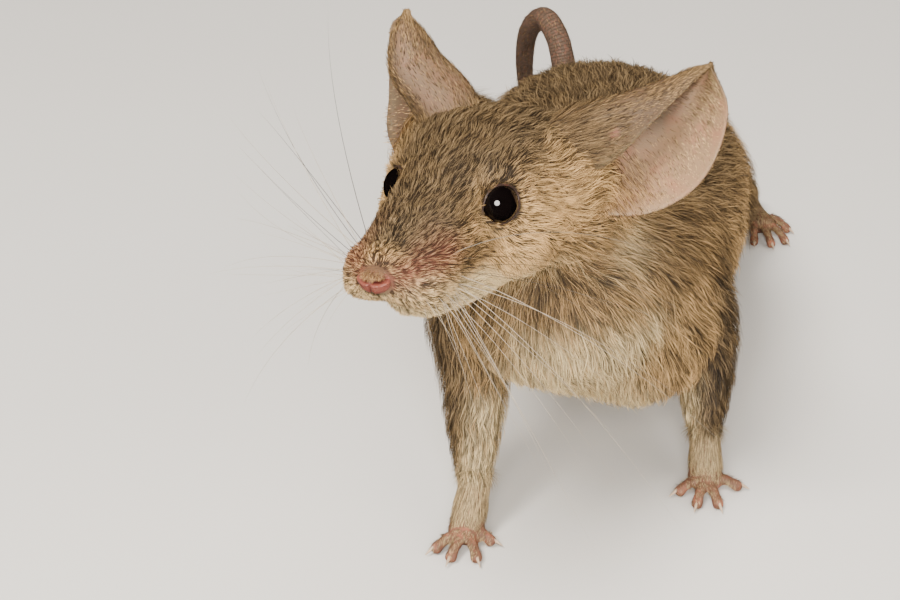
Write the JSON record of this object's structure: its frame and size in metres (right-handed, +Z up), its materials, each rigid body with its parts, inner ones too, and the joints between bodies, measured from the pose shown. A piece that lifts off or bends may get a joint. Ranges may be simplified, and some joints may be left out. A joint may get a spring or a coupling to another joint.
{
  "type": "mouse",
  "caption": "Life-size mouse standing still on its feet with its head raised, ears spread and tail looping up and down to the floor.",
  "frame": {"origin": "centre of the bounding box on the floor that the soles and the tail rest on", "axes": "+Z up, -Y forward along the body towards the nose, +X to the animal's left"},
  "size_m": [0.0562, 0.1226, 0.049],
  "materials": {
    "coat": "short dense grey-brown fur",
    "pale_coat": "short cream fur",
    "bare_skin": "thin pink skin with sparse short hairs",
    "nose": "bare, slightly moist pink skin",
    "eye": "wet glossy black",
    "claw": "translucent pale horn",
    "tail_skin": "fine ringed scales with sparse short hairs"
  },
  "bodies": {
    "root": {"head": "coat", "nose": "nose", "lower_jaw": "pale_coat", "neck": "coat", "chest": "coat", "abdomen": "coat", "rump": "coat", "eye_left": "eye", "ear_left": "bare_skin", "upper_arm_left": "coat", "forearm_left": "coat", "forefoot_left": "bare_skin", "thigh_left": "coat", "shank_left": "pale_coat", "hindfoot_left": "bare_skin", "claw_fore_left_2": "claw", "claw_fore_left_3": "claw", "claw_fore_left_4": "claw", "claw_fore_left_5": "claw", "claw_hind_left_1": "claw", "claw_hind_left_2": "claw", "claw_hind_left_3": "claw", "claw_hind_left_4": "claw", "claw_hind_left_5": "claw", "eye_right": "eye", "ear_right": "bare_skin", "upper_arm_right": "coat", "forearm_right": "coat", "forefoot_right": "bare_skin", "thigh_right": "coat", "shank_right": "pale_coat", "hindfoot_right": "bare_skin", "claw_fore_right_2": "claw", "claw_fore_right_3": "claw", "claw_fore_right_4": "claw", "claw_fore_right_5": "claw", "claw_hind_right_1": "claw", "claw_hind_right_2": "claw", "claw_hind_right_3": "claw", "claw_hind_right_4": "claw", "claw_hind_right_5": "claw", "tail_1": "tail_skin", "tail_2": "tail_skin", "tail_3": "tail_skin", "tail_4": "tail_skin"}
  },
  "joints": []
}
